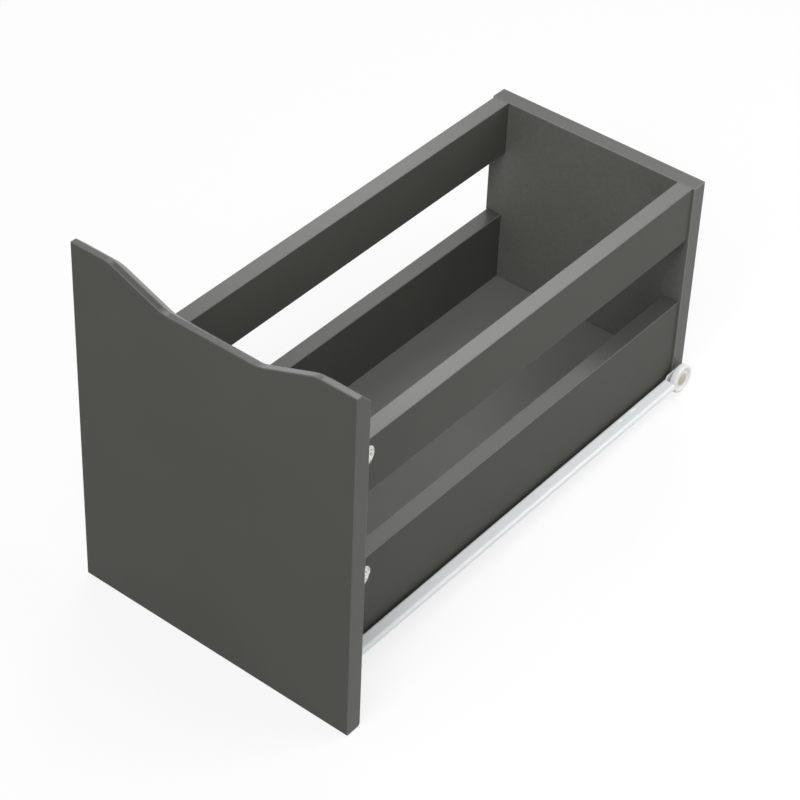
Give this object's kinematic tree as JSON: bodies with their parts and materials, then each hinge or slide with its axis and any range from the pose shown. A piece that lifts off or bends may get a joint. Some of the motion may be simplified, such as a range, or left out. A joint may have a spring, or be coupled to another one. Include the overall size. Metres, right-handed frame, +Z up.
{
  "type": "bathroom cabinet drawer",
  "caption": "Slim pull-out drawer of a bathroom storage cabinet: tall front with a wavy hand notch, box with railed open sides, roller runner along each side.",
  "frame": {"origin": "plan centre of the bounding box, at the height of the front panel's lower edge", "axes": "front panel faces -Y, the drawer runs back along +Y, +Z is up, +X is to the right seen from the front"},
  "size_m": [0.216, 0.388, 0.263],
  "materials": {
    "graphite_board": "matt graphite foil on fibreboard",
    "graphite_floor": "matt graphite foil on thin hardboard",
    "cam_zinc": "cast zinc, dull",
    "steel": "bright zinc-plated steel",
    "white_enamel": "white epoxy-coated sheet steel",
    "nylon": "white nylon",
    "rivet_brass": "yellow-passivated rivet",
    "beech": "bare beech"
  },
  "bodies": {
    "drawer": {"front_panel": "graphite_board", "back_panel": "graphite_board", "floor_panel": "graphite_floor", "rail_left": "graphite_board", "lower_side_left": "graphite_board", "runner_left": "white_enamel", "rivet_left": "rivet_brass", "runner_screw_left_1": "steel", "runner_screw_left_2": "steel", "runner_screw_left_3": "steel", "rail_right": "graphite_board", "lower_side_right": "graphite_board", "runner_right": "white_enamel", "rivet_right": "rivet_brass", "runner_screw_right_1": "steel", "runner_screw_right_2": "steel", "runner_screw_right_3": "steel", "cam_bolt_upper_left": "steel", "front_dowel_upper_left": "beech", "back_dowel_upper_left": "beech", "back_screw_upper_left": "steel", "cam_bolt_upper_right": "steel", "front_dowel_upper_right": "beech", "back_dowel_upper_right": "beech", "back_screw_upper_right": "steel", "cam_bolt_lower_left": "steel", "front_dowel_lower_left": "beech", "back_dowel_lower_left": "beech", "back_screw_lower_left": "steel", "cam_bolt_lower_right": "steel", "front_dowel_lower_right": "beech", "back_dowel_lower_right": "beech", "back_screw_lower_right": "steel"},
    "cam_upper_left": {"cam_upper_left": "cam_zinc"},
    "cam_upper_right": {"cam_upper_right": "cam_zinc"},
    "cam_lower_left": {"cam_lower_left": "cam_zinc"},
    "cam_lower_right": {"cam_lower_right": "cam_zinc"},
    "roller_left": {"roller_left": "nylon"},
    "roller_right": {"roller_right": "nylon"}
  },
  "joints": [
    {"name": "cam_upper_left_turn", "type": "hinge", "parent": "drawer", "child": "cam_upper_left", "pos_m": [-0.0763, -0.15, 0.1775], "axis": [1, 0, 0], "range_deg": [0, 160]},
    {"name": "cam_upper_right_turn", "type": "hinge", "parent": "drawer", "child": "cam_upper_right", "pos_m": [0.0763, -0.15, 0.1775], "axis": [1, 0, 0], "range_deg": [0, 160]},
    {"name": "cam_lower_left_turn", "type": "hinge", "parent": "drawer", "child": "cam_lower_left", "pos_m": [-0.0763, -0.15, 0.0825], "axis": [1, 0, 0], "range_deg": [0, 160]},
    {"name": "cam_lower_right_turn", "type": "hinge", "parent": "drawer", "child": "cam_lower_right", "pos_m": [0.0763, -0.15, 0.0825], "axis": [1, 0, 0], "range_deg": [0, 160]},
    {"name": "roller_left_spin", "type": "hinge", "parent": "drawer", "child": "roller_left", "pos_m": [-0.0875, 0.1835, 0.034], "axis": [1, 0, 0], "continuous": true},
    {"name": "roller_right_spin", "type": "hinge", "parent": "drawer", "child": "roller_right", "pos_m": [0.0875, 0.1835, 0.034], "axis": [1, 0, 0], "continuous": true}
  ]
}
